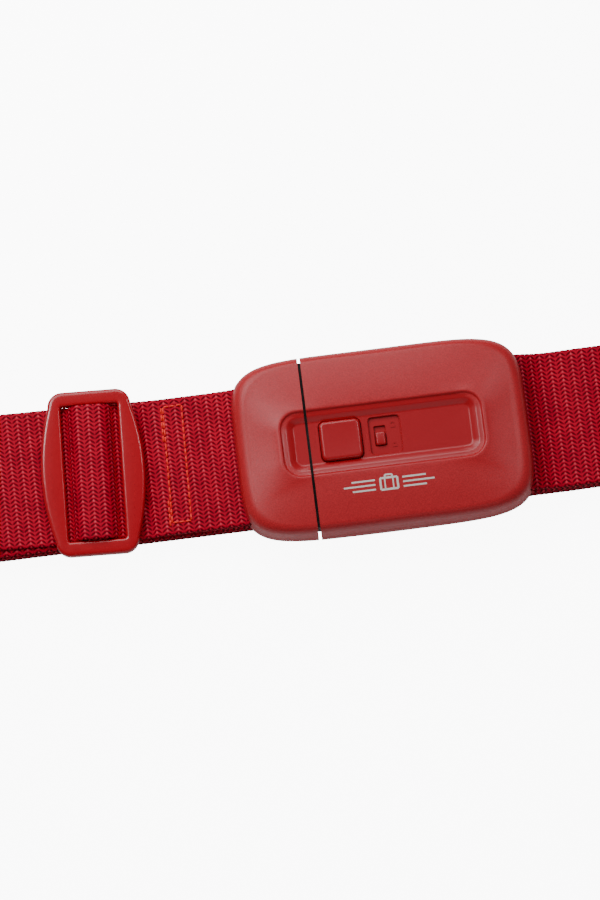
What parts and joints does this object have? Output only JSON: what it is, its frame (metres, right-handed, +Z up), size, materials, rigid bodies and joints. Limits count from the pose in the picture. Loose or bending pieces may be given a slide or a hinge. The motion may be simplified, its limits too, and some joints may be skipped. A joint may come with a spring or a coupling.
{
  "type": "luggage strap",
  "caption": "Wide webbing luggage strap, buckled, folded flat and banded, with a push-button buckle, lock switch and sliding length adjuster.",
  "frame": {"origin": "middle of the folded strap's underside, on the surface it lies on", "axes": "+X along the strap from the slider to the buckle's body half, +Y across it, +Z up out of the buckle's face"},
  "size_m": [0.2604, 0.066, 0.0277],
  "materials": {
    "cover_plastic": "fine-textured matte red",
    "button_plastic": "satin deep red",
    "slider_plastic": "glossy red",
    "inner_plastic": "plain black",
    "bar_steel": "plain steel",
    "webbing": "woven crimson polyester",
    "thread": "orange-red sewing thread",
    "band_elastic": "knitted red elastic"
  },
  "bodies": {
    "body_half": {"body_top_cover": "cover_plastic", "body_bottom_cover": "cover_plastic", "body_strap_bar": "bar_steel", "tongue_guide": "inner_plastic", "latch_arm": "inner_plastic", "switch_detent_spring": "bar_steel", "body_screw_1": "bar_steel", "body_screw_2": "bar_steel", "body_screw_3": "bar_steel", "body_screw_4": "bar_steel", "strap_body_loop": "webbing", "strap_folded_run": "webbing", "strap_return_run": "webbing", "storage_band": "band_elastic"},
    "plug_half": {"plug_top_cover": "cover_plastic", "plug_bottom_cover": "cover_plastic", "plug_strap_bar": "bar_steel", "plug_tongue": "inner_plastic", "plug_screw_1": "bar_steel", "plug_screw_2": "bar_steel", "strap_plug_run": "webbing", "plug_box_stitch": "thread", "strap_lower_run": "webbing", "strap_left_fold": "webbing"},
    "button": {"release_button": "button_plastic"},
    "switch": {"lock_switch": "button_plastic"},
    "slider": {"strap_slider": "slider_plastic", "strap_slider_end": "webbing", "strap_slider_hump": "webbing"}
  },
  "joints": [
    {"name": "plug_slide", "type": "slide", "parent": "body_half", "child": "plug_half", "axis": [-1, 0, 0], "range_m": [0, 0.035], "deforming": ["strap_return_run", "latch_arm"]},
    {"name": "button_press", "type": "slide", "parent": "body_half", "child": "button", "axis": [0, 0, -1], "range_m": [0, 0.002], "stiffness_N_per_m": 1500, "deforming": ["latch_arm"]},
    {"name": "lock_slide", "type": "slide", "parent": "body_half", "child": "switch", "axis": [0, 1, 0], "range_m": [0, 0.0022]},
    {"name": "slider_adjust", "type": "slide", "parent": "plug_half", "child": "slider", "axis": [-1, 0, 0], "range_m": [0, 0.03], "deforming": ["strap_lower_run"]}
  ]
}
